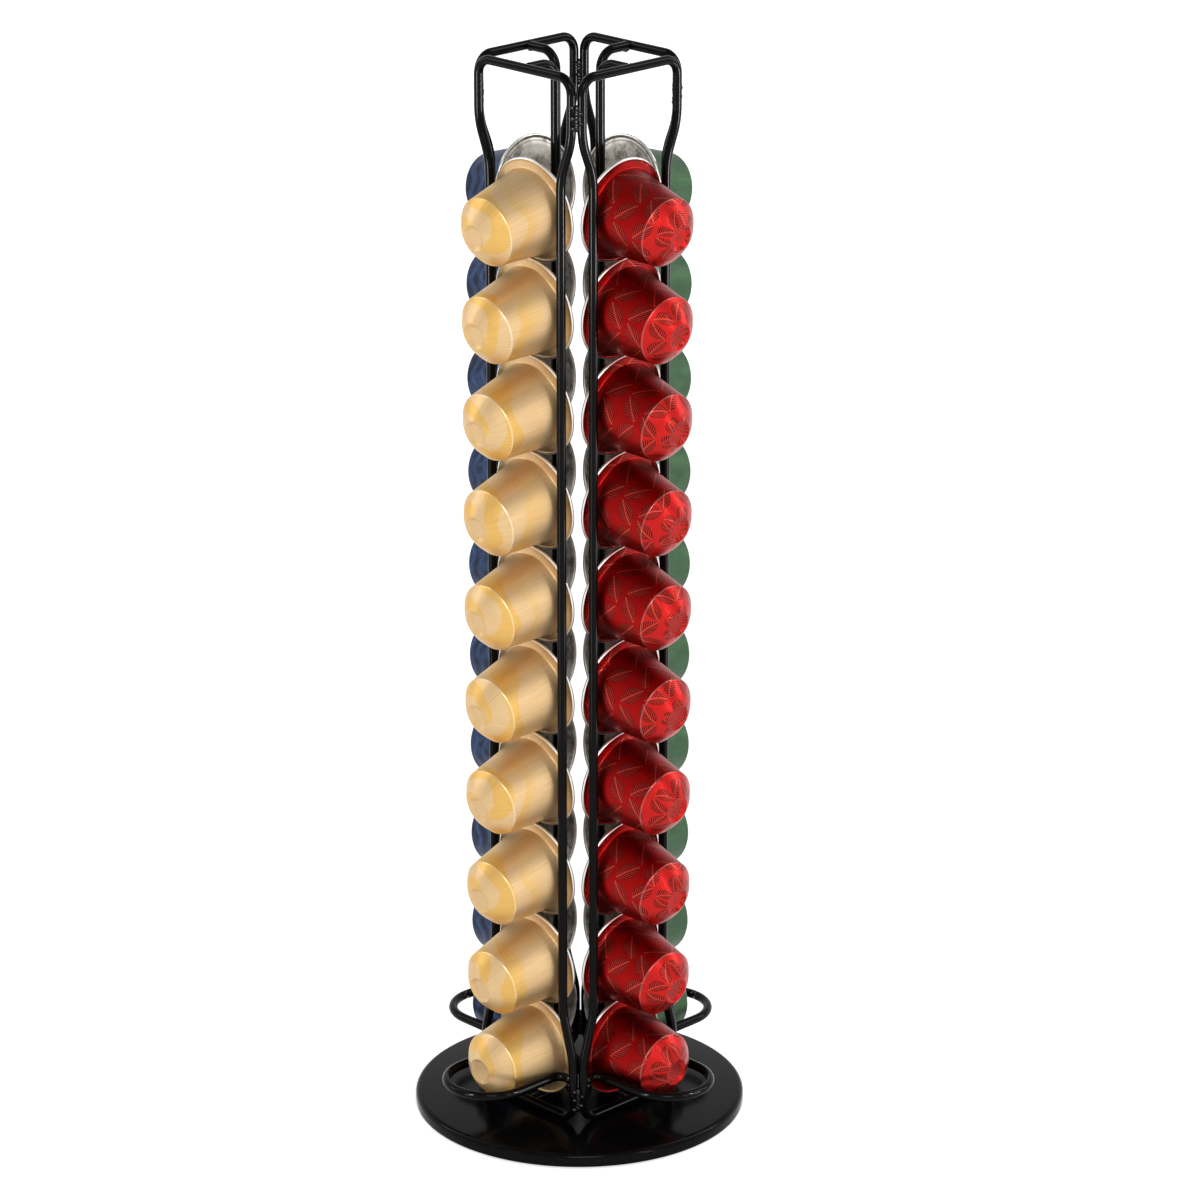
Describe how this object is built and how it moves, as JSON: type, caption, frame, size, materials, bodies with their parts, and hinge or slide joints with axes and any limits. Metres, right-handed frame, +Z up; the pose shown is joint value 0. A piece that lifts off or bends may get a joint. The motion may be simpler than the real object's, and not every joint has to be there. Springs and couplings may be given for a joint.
{
  "type": "coffee capsule dispenser",
  "caption": "Turning wire tower that stores coffee capsules in upright columns, noses outward, on a low round turntable with a non-slip foot.",
  "frame": {"origin": "on the table surface, under the middle of the round base", "axes": "+Z up along the tower's turning axis; column 1 faces -Y, column 2 +X, column 3 +Y and column 4 -X"},
  "size_m": [0.1208, 0.1208, 0.3811],
  "materials": {
    "rubber_pad": "matt black foam rubber",
    "base_steel": "satin black paint on pressed steel",
    "nylon": "plain off-white nylon",
    "disc_enamel": "high-gloss black enamel on spun steel",
    "rivet_steel": "bare zinc-plated steel",
    "wire_paint": "gloss black paint on round steel wire",
    "capsule_gold": "pale gold anodised drawn aluminium, finely brushed round its axis",
    "capsule_red": "deep red anodised aluminium with a light print of leaves on its sides",
    "capsule_green": "mid green anodised aluminium, finely brushed",
    "capsule_blue": "denim blue anodised aluminium with a light print of waves on its sides"
  },
  "bodies": {
    "base": {"non_slip_pad": "rubber_pad", "base_plate": "base_steel", "glide_ring": "nylon", "pivot_rivet": "rivet_steel"},
    "carousel": {"turntable_disc": "disc_enamel", "front_loop_1": "wire_paint", "back_wire_1": "wire_paint", "cradle_1": "wire_paint", "capsule_1_01": "capsule_gold", "capsule_1_02": "capsule_gold", "capsule_1_03": "capsule_gold", "capsule_1_04": "capsule_gold", "capsule_1_05": "capsule_gold", "capsule_1_06": "capsule_gold", "capsule_1_07": "capsule_gold", "capsule_1_08": "capsule_gold", "capsule_1_09": "capsule_gold", "front_loop_2": "wire_paint", "back_wire_2": "wire_paint", "cradle_2": "wire_paint", "capsule_2_01": "capsule_red", "capsule_2_02": "capsule_red", "capsule_2_03": "capsule_red", "capsule_2_04": "capsule_red", "capsule_2_05": "capsule_red", "capsule_2_06": "capsule_red", "capsule_2_07": "capsule_red", "capsule_2_08": "capsule_red", "capsule_2_09": "capsule_red", "front_loop_3": "wire_paint", "back_wire_3": "wire_paint", "cradle_3": "wire_paint", "capsule_3_01": "capsule_green", "capsule_3_02": "capsule_green", "capsule_3_03": "capsule_green", "capsule_3_04": "capsule_green", "capsule_3_05": "capsule_green", "capsule_3_06": "capsule_green", "capsule_3_07": "capsule_green", "capsule_3_08": "capsule_green", "capsule_3_09": "capsule_green", "front_loop_4": "wire_paint", "back_wire_4": "wire_paint", "cradle_4": "wire_paint", "capsule_4_01": "capsule_blue", "capsule_4_02": "capsule_blue", "capsule_4_03": "capsule_blue", "capsule_4_04": "capsule_blue", "capsule_4_05": "capsule_blue", "capsule_4_06": "capsule_blue", "capsule_4_07": "capsule_blue", "capsule_4_08": "capsule_blue", "capsule_4_09": "capsule_blue"},
    "top_capsule_1": {"capsule_1_10": "capsule_gold"},
    "top_capsule_2": {"capsule_2_10": "capsule_red"},
    "top_capsule_3": {"capsule_3_10": "capsule_green"},
    "top_capsule_4": {"capsule_4_10": "capsule_blue"}
  },
  "joints": [
    {"name": "turntable_spin", "type": "hinge", "parent": "base", "child": "carousel", "pos_m": [0, 0, 0], "axis": [0, 0, 1], "continuous": true},
    {"name": "top_capsule_lift_1", "type": "slide", "parent": "carousel", "child": "top_capsule_1", "axis": [0, 0, 1], "range_m": [0, 0.0275]},
    {"name": "top_capsule_lift_2", "type": "slide", "parent": "carousel", "child": "top_capsule_2", "axis": [0, 0, 1], "range_m": [0, 0.0275]},
    {"name": "top_capsule_lift_3", "type": "slide", "parent": "carousel", "child": "top_capsule_3", "axis": [0, 0, 1], "range_m": [0, 0.0275]},
    {"name": "top_capsule_lift_4", "type": "slide", "parent": "carousel", "child": "top_capsule_4", "axis": [0, 0, 1], "range_m": [0, 0.0275]}
  ]
}
